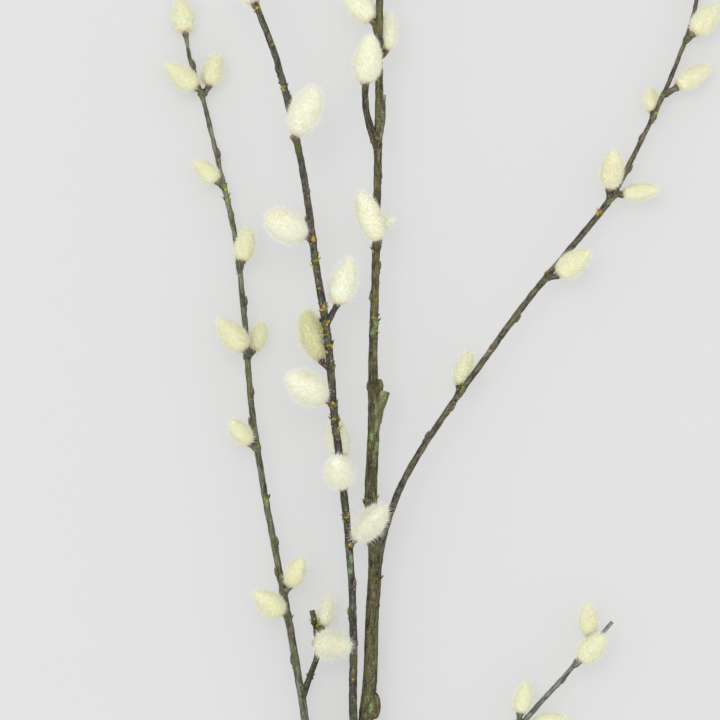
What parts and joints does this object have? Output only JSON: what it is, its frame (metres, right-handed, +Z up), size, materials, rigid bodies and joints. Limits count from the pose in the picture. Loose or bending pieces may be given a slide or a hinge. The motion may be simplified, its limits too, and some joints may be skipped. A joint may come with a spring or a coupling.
{
  "type": "willow twig",
  "caption": "Cut branched willow twig lying on a surface, with slim bare shoots, small closed buds and soft downy egg-shaped catkins.",
  "frame": {"origin": "on the surface that the twig lies on, under the middle of its box", "axes": "+Y from the cut end to the tips, +X to the right as seen from above, +Z up"},
  "size_m": [0.281, 0.6434, 0.0756],
  "materials": {
    "bark": "matte grey-brown willow bark with olive and purple tints",
    "catkin_down": "soft cream-white down of fine silky hairs"
  },
  "bodies": {
    "root": {"catkin_front_1": "catkin_down", "catkin_front_2": "catkin_down", "catkin_front_3": "catkin_down", "catkin_front_4": "catkin_down", "catkin_front_5": "catkin_down", "catkin_front_6": "catkin_down", "catkin_front_7": "catkin_down", "catkin_front_8": "catkin_down", "catkin_front_end": "catkin_down", "catkin_leader_1": "catkin_down", "catkin_leader_2": "catkin_down", "catkin_leader_3": "catkin_down", "catkin_leader_4": "catkin_down", "catkin_leader_5": "catkin_down", "catkin_leader_6": "catkin_down", "catkin_leader_end": "catkin_down", "catkin_leader_side_end": "catkin_down", "catkin_left_1": "catkin_down", "catkin_left_10": "catkin_down", "catkin_left_11": "catkin_down", "catkin_left_2": "catkin_down", "catkin_left_3": "catkin_down", "catkin_left_4": "catkin_down", "catkin_left_5": "catkin_down", "catkin_left_6": "catkin_down", "catkin_left_7": "catkin_down", "catkin_left_8": "catkin_down", "catkin_left_9": "catkin_down", "catkin_left_end": "catkin_down", "catkin_left_side_1": "catkin_down", "catkin_left_side_2": "catkin_down", "catkin_low_1": "catkin_down", "catkin_low_2": "catkin_down", "catkin_low_3": "catkin_down", "catkin_low_4": "catkin_down", "catkin_low_5": "catkin_down", "catkin_right_1": "catkin_down", "catkin_right_2": "catkin_down", "catkin_right_3": "catkin_down", "catkin_right_4": "catkin_down", "catkin_right_5": "catkin_down", "catkin_right_6": "catkin_down", "catkin_right_7": "catkin_down", "catkin_right_8": "catkin_down", "catkin_right_end": "catkin_down", "wood": "bark"}
  },
  "joints": []
}
